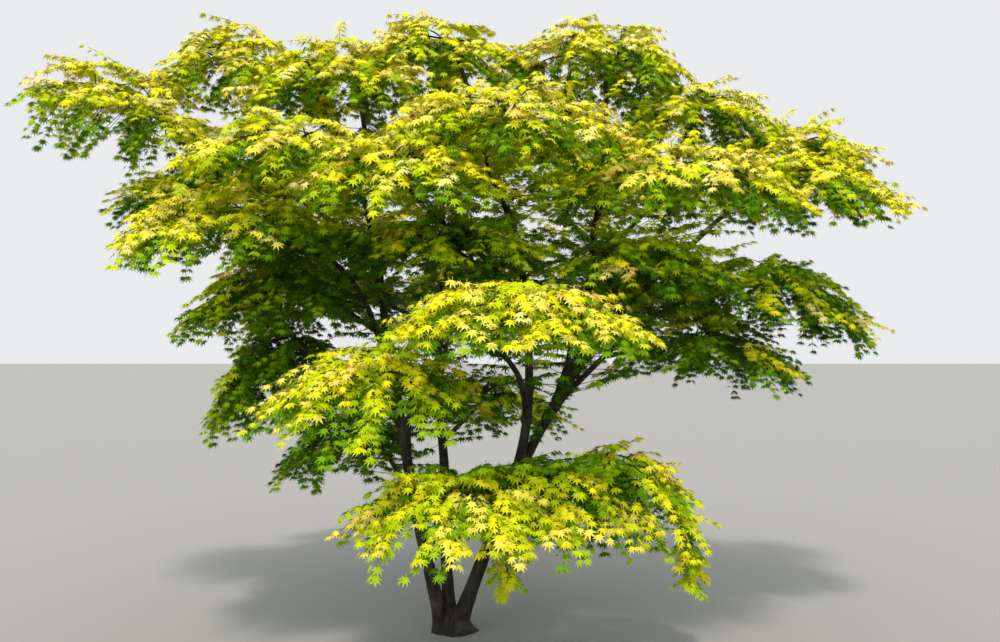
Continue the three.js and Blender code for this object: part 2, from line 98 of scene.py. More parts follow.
# Masses: middle (azimuth, out, height), heading, half length, half width, half
# depth, hang of the rim, fall of the far end, the limb that carries it and the
# share along it, and a seed
MASSES = {
    "skirt_front": (-87, 1290, 975, -92, 450, 440, 150, 150, 20, "bough_skirt_front", 1, 1),
    "skirt_right": (-70, 1180, 985, -66, 420, 400, 150, 160, 20, "bough_skirt_right", 1, 2),
    "low_right": (-38, 1060, 1010, -34, 390, 390, 160, 310, 30, "stem_right", 0.42, 3),
    "mid_front": (-77, 1457, 1760, -78, 440, 520, 140, 130, 20, "bough_mid_front", 1, 4),
    "mid_left_front": (-105, 1280, 1480, -108, 450, 390, 150, 150, 70, "bough_mid_left_front", 1, 5),
    "left_front": (217, 1300, 2210, -142, 540, 480, 170, 190, 20, "bough_left_front", 1, 7),
    "far_left_top": (183, 1755, 2905, 180, 530, 520, 290, 130, -140, "bough_far_left", 1, 8),
    "far_left_low": (173, 1420, 2520, 174, 520, 480, 160, 150, 30, "bough_far_left", 0.5, 9),
    "left_mid": (193, 970, 1955, -168, 480, 480, 190, 250, 50, "stem_left", 0.66, 10),
    "left_low": (163, 1060, 1660, 165, 430, 460, 250, 540, 50, "bough_left_low", 1, 11),
    "left_low_tip": (160, 650, 1090, 170, 380, 400, 170, 180, 60, "stem_left", 0.3, 12),
    "top_left": (172, 1270, 3245, 165, 440, 450, 250, 210, 0, "bough_top_left", 1, 13),
    "upper_left_front": (-125, 1260, 2520, -122, 430, 420, 150, 120, 30, "bough_upper_left", 1, 14),
    "upper_mid_front": (-100, 1200, 2380, -98, 410, 420, 150, 120, 30, "bough_upper_mid", 1, 15),
    "inner_left": (199, 640, 2190, -160, 480, 500, 180, 120, 30, "stem_left", 0.74, 16),
    "top_mid_left": (194, 640, 3080, -160, 500, 480, 200, 160, 30, "stem_left", 1, 17),
    "top_centre": (125, 190, 3310, 120, 520, 500, 190, 180, 20, "stem_centre", 1, 18),
    "top_right": (10, 800, 3270, 25, 540, 540, 190, 180, 40, "stem_high", 1, 19),
    "centre_front_high": (-74, 1000, 2660, -76, 470, 560, 170, 140, 30, "bough_centre_front", 1, 20),
    "inner_front": (-90, 560, 2120, -95, 430, 500, 150, 110, 20, "stem_centre", 0.56, 21),
    "upper_right": (5, 1390, 2950, 10, 420, 460, 160, 160, 30, "bough_upper_right", 1, 22),
    "right_high": (9, 2010, 2765, 12, 420, 430, 150, 130, 30, "bough_right_high", 1, 53),
    "right_far": (-7, 1860, 2490, -8, 500, 460, 150, 150, 50, "stem_right", 1, 24),
    "right_front": (-37, 1400, 2420, -42, 540, 520, 160, 160, 40, "bough_right_front", 1, 25),
    "right_low": (7, 1850, 1960, 8, 540, 520, 200, 240, 110, "bough_right_low", 1, 26),
    "right_under": (12, 1500, 1640, 15, 540, 520, 200, 220, 60, "bough_right_low", 0.35, 27),
    "right_inner": (-25, 1080, 2040, -30, 470, 470, 160, 130, 30, "stem_right", 0.84, 28),
    "back_left_high": (126, 1370, 2850, 126, 540, 540, 190, 190, 50, "bough_back_left", 1, 29),
    "back_high": (85, 1220, 3050, 86, 540, 560, 190, 190, 40, "stem_mid", 1, 30),
    "back_right_high": (48, 1510, 2790, 48, 540, 540, 190, 190, 50, "bough_back_right", 1, 31),
    "back_left_low": (128, 1650, 2070, 128, 540, 540, 190, 220, 50, "bough_back_left_low", 1, 32),
    "back_low": (88, 1590, 2100, 88, 540, 560, 190, 220, 50, "bough_back_low", 1, 33),
    "back_right_low": (46, 1730, 2000, 46, 560, 560, 190, 220, 50, "bough_back_right_low", 1, 34),
    "back_skirt": (83, 1180, 1260, 82, 480, 540, 180, 210, 50, "stem_mid", 0.4, 35),
}

# Boughs: name, the limb that carries it, share along it, the mass it ends in,
# and its radii at start and tip
BOUGHS = (
    ("bough_skirt_front", "stem_mid", 0.2, "skirt_front", 19, 9),
    ("bough_skirt_right", "stem_right", 0.24, "skirt_right", 18, 9),
    ("bough_mid_front", "stem_centre", 0.22, "mid_front", 19, 9),
    ("bough_mid_left_front", "stem_left", 0.34, "mid_left_front", 19, 9),
    ("bough_left_front", "stem_left", 0.58, "left_front", 19, 9),
    ("bough_far_left", "stem_left", 0.82, "far_left_top", 17, 9),
    ("bough_left_low", "stem_left", 0.46, "left_low", 17, 9),
    ("bough_top_left", "stem_left", 0.9, "top_left", 14, 8),
    ("bough_upper_left", "stem_left", 0.7, "upper_left_front", 15, 8),
    ("bough_upper_mid", "stem_centre", 0.5, "upper_mid_front", 16, 8),
    ("bough_centre_front", "stem_centre", 0.7, "centre_front_high", 16, 9),
    ("bough_upper_right", "stem_high", 0.62, "upper_right", 14, 8),
    ("bough_right_high", "stem_high", 0.36, "right_high", 16, 8),
    ("bough_right_front", "stem_right", 0.76, "right_front", 18, 9),
    ("bough_right_low", "stem_right", 0.58, "right_low", 19, 9),
    ("bough_back_left", "stem_mid", 0.84, "back_left_high", 16, 9),
    ("bough_back_right", "stem_mid", 0.74, "back_right_high", 17, 9),
    ("bough_back_left_low", "stem_mid", 0.62, "back_left_low", 18, 9),
    ("bough_back_low", "stem_mid", 0.52, "back_low", 18, 9),
    ("bough_back_right_low", "stem_right", 0.55, "back_right_low", 19, 9),
)

# Crown sectors: the masses whose twigs and leaves are joined, and the record's slot
SECTORS = {
    "skirt": (("skirt_front", "skirt_right", "low_right", "mid_front", "mid_left_front"), "foliage_gold"),
    "left": (("left_front", "far_left_top", "top_left", "upper_left_front", "upper_mid_front"),
             "foliage_gold"),
    "top": (("top_mid_left", "top_centre", "top_right", "centre_front_high", "upper_right"),
            "foliage_gold"),
    "right": (("right_high", "right_front", "back_left_high", "back_high", "back_right_high"),
              "foliage_gold"),
    "sides": (("far_left_low", "left_mid", "right_far", "right_low"), "foliage_lime"),
    "back_low": (("back_left_low", "back_low", "back_right_low", "back_skirt"), "foliage_lime"),
    "inner": (("left_low", "left_low_tip", "inner_left", "inner_front", "right_under", "right_inner"),
              "foliage_green"),
}

# Bark: swelling of a stem at the ground and of a limb where it leaves another, as
# shares of the radius, the height over which the first and the radii over which
# the second fall away, and spacing and swelling of the nodes along a limb
ROOT_FLARE = 0.95
ROOT_FLARE_FALL = 0.075
COLLAR = 0.75
COLLAR_LENGTH = 1.7
NODE_SPACING = 0.16
NODE_SWELL = 0.05

# Finer twigs: stations along a stem twig and along others, the shares of the shelf
# where the stem twig and side twigs end, the number of risers, and the radii at
# root and tip of side twigs, risers, the twig of a tuft, and sprays
LEADER_STATIONS = 40
TWIG_STATIONS = 16
LEADER_END = 0.86
SIDE_END = 0.88
RISERS = 7
LEADER_TIP = 0.0022
SIDE_RADII = (0.0068, 0.0016)
RISER_RADII = (0.0054, 0.0014)
TUFT_RADII = (0.0035, 0.0014)
SPRAY_RADII = (0.0026, 0.0009)

# Sun: its tilt from overhead and its turn, in degrees, the light on a spray with
# no shelf between it and the sun, what each shelf in the way takes off, the most
# that is taken, what is lost for each metre below the open height, and how far
# one spray differs from its neighbours. These lights are painted into the leaves'
# base colours: painted shade under shelves and low down, painted sun in the open.
SUN_TILT = 32
SUN_TURN = -8
OPEN_LIGHT = 0.16
SHELF_SHADE = 0.68
MOST_SHADE = 1.4
LOW_SHADE = 0.09
OPEN_HEIGHT = 3.0
LIGHT_SPREAD = 0.36

# Layers of sprays inside a mass, from the top down: the share of the sprays down
# to this layer, its depth, its reach, its light, painted into its leaves' colours
# as lighter tops and darker painted shade below, and how far its tips hang in a
# mass at the open height
LAYERS = (
    (0.46, 0.8, 1.0, 0.44, 0.0),
    (0.75, 0.0, 0.96, -0.05, 0.02),
    (1.0, -0.8, 0.88, -0.45, 0.06),
)
LAYER_SPREAD = 0.26

# Sprays: lobes of a mass's rim and how far they cut in, sprays for each square
# metre, length and its spread, sideways bow as a share of the length, how far a
# tip strays, how steeply it may climb, how far it may pass the part's box, and
# leaf nodes along it
RIM_LOBES = 5
RIM_DEPTH = 0.16
SPRAYS_PER_AREA = 256
SPRAY_LENGTH = 0.158
LENGTH_SPREAD = 0.03
SPRAY_BOW = 0.4
SPRAY_STRAY = 0.05
SPRAY_CLIMB = 0.45
TIP_ROOM = 0.02
NODES_PER_SPRAY = 5

# Sprays on the limb that ends in a mass, and on the first stations of its stem
# twig, with their reach, and how many more grow at each station of the stem twig
# that lies further back in the mass than the bare place
LIMB_SPRAYS = 30
LIMB_REACH = 0.23
LEADER_SPRAYS = 20
LEADER_REACH = 0.2
BARE_PLACE = -0.8
BARE_SPRAYS = 2

# Shoots: sprays that grow on limbs between the shelves, as limb, the first and
# last share along it, and how many, the mass that they are joined with, and
# their reach
SHOOTS = (
    ("stem_left", 0.5, 1.0, 44),
    ("stem_mid", 0.45, 1.0, 36),
    ("stem_right", 0.6, 1.0, 56),
    ("stem_centre", 0.35, 1.0, 72),
    ("stem_high", 0.05, 1.0, 80),
    ("bough_right_front", 0.1, 0.6, 30),
    ("bough_centre_front", 0.15, 0.7, 30),
    ("bough_far_left", 0.3, 0.8, 20),
    ("bough_top_left", 0.2, 0.7, 20),
    ("bough_upper_mid", 0.2, 0.7, 24),
    ("bough_upper_right", 0.1, 0.7, 30),
    ("bough_right_high", 0.15, 0.7, 40),
    ("bough_right_low", 0.5, 0.8, 16),
)
SHOOT_MASS = "inner_front"
SHOOT_REACH = 0.36

# Low tufts: the mass whose twig each hangs from, and where its tip is (millimetres)
TUFTS = {"skirt_right": (276, -1130, 530), "low_right": (1170, -760, 455)}
TUFT_SPRAYS = 15
TUFT_REACH = 0.08

# Numbers of the sprays, which their chances are drawn by: the first on a limb, in
# the rows of shoots, on a tuft, on a stem twig and on its bare start. Sprays in the
# even thousand, which are the tufts' and the last three rows of shoots, take the
# even light in place of the sun's
LIMB_FIRST = 1000
SHOOT_FIRST = 2000
SHOOT_ROW = 100
TUFT_FIRST = 3000
LEADER_FIRST = 4000
BARE_FIRST = 5000
EVEN_THOUSAND = 3
EVEN_LIGHT = 0.05

# Leaf: angle, length and half width of each lobe, as shares of the middle lobe,
# and length of the middle lobe and of the stalk, with how far each varies
LOBES = (
    (0, 1.0, 0.19),
    (37, 0.94, 0.18),
    (-37, 0.94, 0.18),
    (74, 0.78, 0.17),
    (-74, 0.78, 0.17),
    (116, 0.48, 0.13),
    (-116, 0.48, 0.13),
)
LEAF_LENGTH = 39 * MM
LEAF_SPREAD = 0.2
PETIOLE = 21 * MM
PETIOLE_SPREAD = 0.45

# Set of the leaves on a spray, in degrees: turn out from the twig of the pair at
# the tip and what each further pair adds, middle and spread of the pitch down,
# and spread of the turn and of the roll
PAIR_TURN = 36
PAIR_TURN_STEP = 7
TURN_SPREAD = 26
PITCH = 33
PITCH_SPREAD = 24
ROLL_SPREAD = 22

# Foliage colours as they are dealt from the most to the least sunlit spray,
# each with the light below which the next one takes over. They are partly the
# leaves' own colour, yellow in sun and green in shade, and partly painted light:
# pale cream and straw as painted highlight on the most sunlit sprays, and ever
# darker greens as painted shade on the shaded ones.
FOLIAGE = (
    ("leaf_cream_painted_highlight", (0.83, 0.75, 0.22), 0.88),
    ("leaf_straw_painted_full_sun", (0.76, 0.69, 0.08), 0.6),
    ("leaf_gold_painted_sun", (0.74, 0.70, 0.012), 0.28),
    ("leaf_yellow_green_painted_half_light", (0.55, 0.63, 0.006), 0.0),
    ("leaf_lime_painted_half_shade", (0.33, 0.49, 0.004), -0.28),
    ("leaf_green_painted_shade", (0.15, 0.32, 0.003), -0.56),
    ("leaf_deep_green_painted_deep_shade", (0.07, 0.17, 0.002), -9.0),
)
# A few sprays that are lit more than this are amber instead
AMBER = ("leaf_amber", (0.80, 0.60, 0.12))
AMBER_SHARE = 0.03
AMBER_LIGHT = 0.3

# Lamps: name, energy, softness and tilt from overhead in degrees, and colour
LAMPS = (
    ("soft_sun", 2.05, 6, SUN_TILT, (1.0, 0.93, 0.80)),
    ("broad_fill", 1.6, 90, 80, (0.88, 1.0, 0.74)),
)


# Rules shared by limbs, twigs and leaves
def chance(i, j, seed):
    """A repeatable number from 0 to 1: the fraction of a sine of the two indices
    and the seed, made large. The second index tells one use from another."""
    value = np.sin(np.asarray(i) * 127.1 + np.asarray(j) * 311.7 + seed * 74.7) * 43758.5453
    return value - np.floor(value)


def vary(middle, spread, i, j, seed):
    """The middle value, moved up or down by at most the spread."""
    return middle + spread * (2 * chance(i, j, seed) - 1)


def direction(azimuth, elevation):
    """Unit vector from an azimuth, counted from +X, and an elevation, in degrees."""
    turn, lift = math.radians(azimuth), math.radians(elevation)
    return np.array([math.cos(turn) * math.cos(lift), math.sin(turn) * math.cos(lift), math.sin(lift)])


def polar(azimuth, out, up):
    """A point in metres from an azimuth in degrees and millimetres out and up."""
    turn = math.radians(azimuth)
    return np.array([out * math.cos(turn), out * math.sin(turn), up]) * MM


def unit(vectors):
    """Vectors divided by their lengths."""
    return vectors / np.maximum(np.linalg.norm(vectors, axis=-1, keepdims=True), 1e-12)


def limb_path(start, leave, end, arrive, phase):
    """Cubic curve between two points and directions, with a sideways waver of
    sin squared times a sine, which dies out at both ends."""
    span = np.linalg.norm(end - start)
    knots = (start, start + leave * HANDLE * span, end - arrive * HANDLE * span, end)
    aside = unit(np.array([start[1] - end[1], end[0] - start[0], 0.0]))

    def at(share):
        t = np.asarray(share, dtype=float)[..., None]
        curve = ((1 - t) ** 3 * knots[0] + 3 * (1 - t) ** 2 * t * knots[1]
                 + 3 * (1 - t) * t ** 2 * knots[2] + t ** 3 * knots[3])
        waver = np.sin(np.pi * t) ** 2 * np.sin(KINK_WAVES * np.pi * t + phase)
        return curve + aside * KINK * span * waver

    return at


def tangent_at(path, share):
    """Unit direction of a path from two points a thousandth of it apart."""
    step = 1e-3
    return unit(path(min(share + step, 1.0)) - path(max(share - step, 0.0)))


def mass_point(mass, U, V, depth):
    """Point of a shelf: U along and V across, 1 at the rim, on a lens whose
    depth thins outwards and whose surface falls with the square of the distance."""
    rho2 = U ** 2 + V ** 2
    lens = 1 - FLATTEN * np.minimum(rho2, 1)
    x = mass["long"] * U
    y = mass["wide"] * V
    cos, sin = math.cos(mass["heading"]), math.sin(mass["heading"])
    fall = mass["deep"] * depth * lens - mass["droop"] * rho2 - mass["tilt"] * U
    return mass["middle"] + np.stack([x * cos - y * sin, x * sin + y * cos, fall], axis=-1)


def mass_place(mass, point):
    """The U and V of a point, which undo mass_point."""
    offset = point - mass["middle"]
    cos, sin = math.cos(mass["heading"]), math.sin(mass["heading"])
    U = (offset[..., 0] * cos + offset[..., 1] * sin) / mass["long"]
    V = (offset[..., 1] * cos - offset[..., 0] * sin) / mass["wide"]
    return U, V


def through(knots, count):
    """Catmull-Rom curves through rows of knots (curve, knot, xyz), at equal steps."""
    first = 2 * knots[:, :1] - knots[:, 1:2]
    last = 2 * knots[:, -1:] - knots[:, -2:-1]
    padded = np.concatenate([first, knots, last], axis=1)
    at = np.linspace(0, knots.shape[1] - 1 - 1e-9, count)
    i = at.astype(int)
    u = (at - i)[None, :, None]
    a, b, c, d = (padded[:, i + k] for k in range(4))
    return 0.5 * (2 * b + (c - a) * u + (2 * a - 5 * b + 4 * c - d) * u ** 2
                  + (3 * b - a - 3 * c + d) * u ** 3)


# Meshes
def mesh_piece(name, corners, faces, materials, dealt=None, smooth=True):
    """An object from arrays of corners and of three-cornered faces, with the
    material number of each face."""
    mesh = bpy.data.meshes.new(name)
    mesh.vertices.add(len(corners))
    mesh.vertices.foreach_set("co", np.ascontiguousarray(corners, dtype=np.float32).ravel())
    mesh.loops.add(faces.size)
    mesh.loops.foreach_set("vertex_index", np.ascontiguousarray(faces, dtype=np.int32).ravel())
    mesh.polygons.add(len(faces))
    mesh.polygons.foreach_set("loop_start", np.arange(0, faces.size, 3, dtype=np.int32))
    for material in materials:
        mesh.materials.append(material)
    if dealt is not None:
        mesh.polygons.foreach_set("material_index", np.ascontiguousarray(dealt, dtype=np.int32))
    mesh.polygons.foreach_set("use_smooth", np.full(len(faces), smooth))
    mesh.update(calc_edges=True)
    mesh.validate()
    piece = bpy.data.objects.new(name, mesh)
    bpy.context.scene.collection.objects.link(piece)
    return piece


def tube_faces(stations, sides):
    """Faces of a closed tube whose corners are its rings, one after another, and
    then the middles of its two ends: two for each gap, and a fan at each end."""
    side = np.arange(sides)
    turn = (side + 1) % sides
    start = (np.arange(stations - 1) * sides)[:, None]
    end = (stations - 1) * sides
    low = np.full(sides, stations * sides)
    return np.concatenate([
        np.stack([start + side, start + turn, start + turn + sides], axis=-1).reshape(-1, 3),
        np.stack([start + side, start + turn + sides, start + side + sides], axis=-1).reshape(-1, 3),
        np.stack([low, turn, side], axis=-1),
        np.stack([low + 1, end + side, end + turn], axis=-1),
    ])


def tubes(paths, radii, sides):
    """Closed tubes, many at once: circles of the given radii carried along
    paths (tube, station, xyz), and a fan at each end. Radii are one for each
    station, or one for each station and side."""
    count, stations = paths.shape[:2]
    along = unit(np.gradient(paths, axis=1))
    chord = paths[:, -1] - paths[:, 0]
    aside = unit(np.stack([-chord[:, 1], chord[:, 0], np.full(count, 1e-6)], axis=-1))[:, None]
    across = unit(aside - (aside * along).sum(-1, keepdims=True) * along)
    beside = np.cross(along, across)
    angle = 2 * np.pi * np.arange(sides) / sides
    ring = across[:, :, None] * np.cos(angle)[:, None] + beside[:, :, None] * np.sin(angle)[:, None]
    radii = radii if radii.ndim == 3 else radii[..., None]
    skin = paths[:, :, None] + ring * radii[..., None]
    corners = np.concatenate([skin.reshape(count, -1, 3), paths[:, :1], paths[:, -1:]], axis=1)
    faces = tube_faces(stations, sides)
    step = np.arange(count)[:, None, None] * corners.shape[1]
    return corners.reshape(-1, 3), (faces[None] + step).reshape(-1, 3)


def tapered_tubes(paths, radii, sides):
    """Closed tubes that thin evenly from the first of two radii to the second."""
    thin = np.linspace(*radii, paths.shape[1])
    return tubes(paths, np.repeat(thin[None], len(paths), 0), sides)


def joined(parts):
    """Corners and faces of several surfaces as one, with the faces renumbered."""
    starts = np.cumsum([0] + [len(corners) for corners, _ in parts])
    corners = np.concatenate([corners for corners, _ in parts])
    faces = np.concatenate([faces + start for (_, faces), start in zip(parts, starts)])
    return corners, faces


# Materials
def group_output(group, name, kind):
    """A named output socket of a node group."""
    group.interface.new_socket(name, in_out="OUTPUT", socket_type=kind)


def group_input(group, name, kind, value):
    """A named input socket of a node group, with its starting value."""
    socket = group.interface.new_socket(name, in_out="INPUT", socket_type=kind)
    socket.default_value = value


def bark_group():
    """Maple bark: long fine ridges, broad patches of paler grey-green skin and
    dark cracks. Object coordinates, with stretched noise for the ridges."""
    group = bpy.data.node_groups.new("bark_grain", "ShaderNodeTree")
    group_input(group, "Dark", "NodeSocketColor", (0.012, 0.010, 0.007, 1))
    group_input(group, "Mid", "NodeSocketColor", (0.045, 0.036, 0.024, 1))
    group_input(group, "Pale", "NodeSocketColor", (0.12, 0.115, 0.08, 1))
    group_input(group, "Grain", "NodeSocketFloat", 60.0)
    group_output(group, "Colour", "NodeSocketColor")
    group_output(group, "Roughness", "NodeSocketFloat")
    group_output(group, "Height", "NodeSocketFloat")
    nodes, links = group.nodes, group.links
    given = nodes.new("NodeGroupInput")
    out = nodes.new("NodeGroupOutput")
    place = nodes.new("ShaderNodeTexCoord")
    stretch = nodes.new("ShaderNodeMapping")
    stretch.inputs["Scale"].default_value = (1.0, 1.0, 0.16)
    links.new(place.outputs["Object"], stretch.inputs["Vector"])
    ridges = nodes.new("ShaderNodeTexNoise")
    ridges.inputs["Detail"].default_value = 6.0
    ridges.inputs["Roughness"].default_value = 0.62
    links.new(stretch.outputs["Vector"], ridges.inputs["Vector"])
    links.new(given.outputs["Grain"], ridges.inputs["Scale"])
    patches = nodes.new("ShaderNodeTexNoise")
    patches.inputs["Scale"].default_value = 9.0
    patches.inputs["Detail"].default_value = 5.0
    links.new(place.outputs["Object"], patches.inputs["Vector"])
    specks = nodes.new("ShaderNodeTexNoise")
    specks.inputs["Scale"].default_value = 260.0
    specks.inputs["Detail"].default_value = 2.0
    links.new(place.outputs["Object"], specks.inputs["Vector"])
    body = nodes.new("ShaderNodeMix")
    body.data_type = "RGBA"
    cracks = nodes.new("ShaderNodeMapRange")
    cracks.inputs["From Min"].default_value = 0.38
    cracks.inputs["From Max"].default_value = 0.56
    links.new(ridges.outputs["Fac"], cracks.inputs["Value"])
    links.new(cracks.outputs["Result"], body.inputs["Factor"])
    links.new(given.outputs["Dark"], body.inputs["A"])
    links.new(given.outputs["Mid"], body.inputs["B"])
    skin = nodes.new("ShaderNodeMapRange")
    skin.inputs["From Min"].default_value = 0.5
    skin.inputs["From Max"].default_value = 0.68
    skin.inputs["To Max"].default_value = 0.75
    links.new(patches.outputs["Fac"], skin.inputs["Value"])
    coat = nodes.new("ShaderNodeMix")
    coat.data_type = "RGBA"
    links.new(skin.outputs["Result"], coat.inputs["Factor"])
    links.new(body.outputs["Result"], coat.inputs["A"])
    links.new(given.outputs["Pale"], coat.inputs["B"])
    links.new(coat.outputs["Result"], out.inputs["Colour"])
    rough = nodes.new("ShaderNodeMapRange")
    rough.inputs["To Min"].default_value = 0.95
    rough.inputs["To Max"].default_value = 0.62
    links.new(patches.outputs["Fac"], rough.inputs["Value"])
    links.new(rough.outputs["Result"], out.inputs["Roughness"])
    height = nodes.new("ShaderNodeMath")
    height.operation = "MULTIPLY_ADD"
    height.inputs[1].default_value = 0.25
    links.new(specks.outputs["Fac"], height.inputs[0])
    links.new(ridges.outputs["Fac"], height.inputs[2])
    links.new(height.outputs["Value"], out.inputs["Height"])
    return group


def bark_material(name, group, dark, mid, pale, grain, relief):
    """Bark from the shared grain group, with a bump of the given depth in metres."""
    material = bpy.data.materials.new(name)
    material.use_nodes = True
    nodes, links = material.node_tree.nodes, material.node_tree.links
    shader = nodes["Principled BSDF"]
    grain_node = nodes.new("ShaderNodeGroup")
    grain_node.node_tree = group
    grain_node.inputs["Dark"].default_value = (*dark, 1)
    grain_node.inputs["Mid"].default_value = (*mid, 1)
    grain_node.inputs["Pale"].default_value = (*pale, 1)
    grain_node.inputs["Grain"].default_value = grain
    bump = nodes.new("ShaderNodeBump")
    bump.inputs["Distance"].default_value = relief
    bump.inputs["Strength"].default_value = 0.8
    links.new(grain_node.outputs["Colour"], shader.inputs["Base Color"])
    links.new(grain_node.outputs["Roughness"], shader.inputs["Roughness"])
    links.new(grain_node.outputs["Height"], bump.inputs["Height"])
    links.new(bump.outputs["Normal"], shader.inputs["Normal"])
    shader.inputs["Specular IOR Level"].default_value = 0.3
    return material


def leaf_material(name, colour):
    """One plain colour of leaf, with the soft shine of its skin; the colour is partly the leaf's own and
    partly painted sun or painted shade.
    """
    material = bpy.data.materials.new(name)
    material.use_nodes = True
    shader = material.node_tree.nodes["Principled BSDF"]
    shader.inputs["Base Color"].default_value = (*colour, 1)
    shader.inputs["Roughness"].default_value = 0.6
    shader.inputs["Specular IOR Level"].default_value = 0.06
    return material


# Limbs
def mass_record(row):
    """A mass's sizes in metres and radians, from its row in millimetres and degrees."""
    azimuth, out, up, heading, length, wide, deep, droop, tilt, limb, share, seed = row
    return {"middle": polar(azimuth, out, up), "heading": math.radians(heading), "long": length * MM,
            "wide": wide * MM, "deep": deep * MM, "droop": droop * MM, "tilt": tilt * MM,
            "limb": limb, "share": share, "seed": seed}


def grow_limbs(masses):
    """Every stem and bough by name: its path, its radii and what carries it."""
    limbs = {}
    for i, (name, foot, tip, leave, arrive, base, end) in enumerate(STEMS):
        on = foot[0] if isinstance(foot[0], str) else None
        start = limbs[on]["path"](foot[1]) if on else polar(*foot, 0)
        path = limb_path(start, direction(*leave), polar(*tip), direction(*arrive), i * KINK_PHASE)
        limbs[name] = {"path": path, "base": base * MM, "end": end * MM, "on": on,
                       "share": foot[1] if on else 0, "span": np.linalg.norm(polar(*tip) - start)}
    for i, (name, on, share, mass_name, base, end) in enumerate(BOUGHS):
        mass = masses[mass_name]
        start = limbs[on]["path"](share)
        tip = mass_point(mass, np.float64(ENTRY), np.float64(0), ENTRY_DEPTH)
        arrive = unit(mass["middle"] - tip)
        leave = unit(LEAN * tangent_at(limbs[on]["path"], share) + unit(tip - start))
        limbs[name] = {"path": limb_path(start, leave, tip, arrive, i * KINK_PHASE), "base": base * MM,
                       "end": end * MM, "on": on, "share": share, "span": np.linalg.norm(tip - start)}
    return limbs


def limb_radius(limb, share):
    """Taper from base to end, as in the part."""
    return limb["base"] + (limb["end"] - limb["base"]) * share ** TAPER_POWER


def bark_relief(angle, run, seed):
    """Relief as shares of the radius: flutes, which are cosines of two, three and
    five times the angle that turn as they run on, and finer ridges broken by a
    cosine of the length."""
    flutes = (0.045 * np.cos(2 * angle + seed + 1.4 * run + 0.7 * np.sin(3.1 * run))
              + 0.03 * np.cos(3 * angle - seed - 2.2 * run)
              + 0.016 * np.cos(5 * angle + 2 * seed + 3.5 * np.sin(1.9 * run + seed)))
    ridges = 0.012 * np.cos(9 * angle + 4 * np.sin(5 * run + seed)) * np.cos(13 * run + 2 * angle)
    return flutes + ridges


def limb_piece(name, limb, limbs, number, bark):
    """A limb with its bark: the taper, swollen where it starts, times the relief
    and bell-shaped swellings at its nodes."""
    stem = name.startswith("stem")
    sides = 36 if stem else 20
    spacing = 0.008 if stem else 0.009
    stations = int(limb["span"] / spacing)
    share = np.linspace(0, 1, stations)
    path = limb["path"](share)
    run = share * limb["span"]
    radius = limb_radius(limb, share)
    if limb["on"]:
        parent = limbs[limb["on"]]
        clear = np.maximum(run - limb_radius(parent, np.float64(limb["share"])), 0)
        radius = radius * (1 + COLLAR * np.exp(-clear / (COLLAR_LENGTH * limb["base"])))
    else:
        radius = radius * (1 + ROOT_FLARE * np.exp(-path[:, 2] / ROOT_FLARE_FALL))
    angle = (2 * np.pi * np.arange(sides) / sides)[None]
    nodes = np.arange(int(limb["span"] / NODE_SPACING) + 2)
    place = vary(nodes * NODE_SPACING + 0.05, 0.05, nodes, 7, number)
    bell = np.exp(-((run[:, None] - place[None]) / (0.4 * limb["base"])) ** 2)
    swell = (NODE_SWELL * bell).sum(-1)[:, None]
    radii = (radius[:, None] * (1 + bark_relief(angle, run[:, None], number * 1.7) + swell))[None]
    corners, faces = tubes(path[None], radii, sides)
    corners[:, 2] = np.maximum(corners[:, 2], 0.0)
    piece = mesh_piece("bark_" + name, corners, faces, [bark])
    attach(piece, "root")
    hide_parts(name)


def root_crown_piece(bark):
    """The flared butt: a radius that falls exponentially with height, ribbed by
    cosines of the angle, and closed over by a dome."""
    sides, levels = 96, 40
    ground, neck, fall, top = 0.128, 0.062, 0.048, 0.132
    angle = (2 * np.pi * np.arange(sides) / sides)[None]
    rise = np.linspace(0, 1, levels)[:, None]
    flare = np.exp(-rise * top / fall)
    ribs = 1 + flare * (0.05 * np.cos(5 * angle + 1) + 0.02 * np.cos(11 * angle + 6 * rise))
    wrinkle = 1 + 0.02 * np.cos(23 * angle + 5 * np.sin(9 * rise))
    dome = np.sqrt(np.maximum(1 - rise ** 6, 0))
    radius = (neck + (ground - neck) * flare) * ribs * wrinkle * dome
    skin = np.stack([radius * np.cos(angle), radius * np.sin(angle), rise * top + 0 * angle], axis=-1)
    corners = np.concatenate([skin.reshape(-1, 3), [[0, 0, 0], [0, 0, top]]])
    faces = tube_faces(levels, sides)
    piece = mesh_piece("bark_root_crown", corners, faces, [bark])
    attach(piece, "root")
    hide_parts("root_crown")


# Twigs inside a mass
def waver(paths, width, seed):
    """Paths moved sideways by two sines of the length along them, in two directions,
    which start from nothing."""
    t = np.linspace(0, 1, paths.shape[1])[None, :, None]
    phase = (np.arange(len(paths)) * 1.9 + seed)[:, None, None]
    chord = paths[:, -1:] - paths[:, :1]
    aside = unit(np.stack([-chord[..., 1], chord[..., 0], 0 * chord[..., 0]], axis=-1))
    swing = np.sin(9 * t + phase) - np.sin(phase)
    lift = np.sin(13 * t + 2 * phase) - np.sin(2 * phase)
    return paths + np.minimum(4 * t, 1) * width * (aside * swing + 0.6 * UP * lift)


def stem_twig(mass, limbs):
    """The mass's stem twig, from its limb through the part's three stops, and on
    towards the rim, as one smooth curve."""
    limb = limbs[mass["limb"]]
    start = limb["path"](mass["share"])
    first = max(ENTRY, float(mass_place(mass, start)[0]))
    stops = np.array(STOPS)
    U = first + (REACH - first) * stops
    V = vary(0, SWAY, stops, 1, mass["seed"])
    knots = mass_point(mass, U, V, ENTRY_DEPTH * (1 - stops))
    beyond = mass_point(mass, np.float64(LEADER_END), np.float64(V[-1] * 0.5), -0.15)
    curve = through(np.concatenate([start[None], knots, beyond[None]])[None], LEADER_STATIONS)
    return waver(curve, 0.007, mass["seed"])[0]


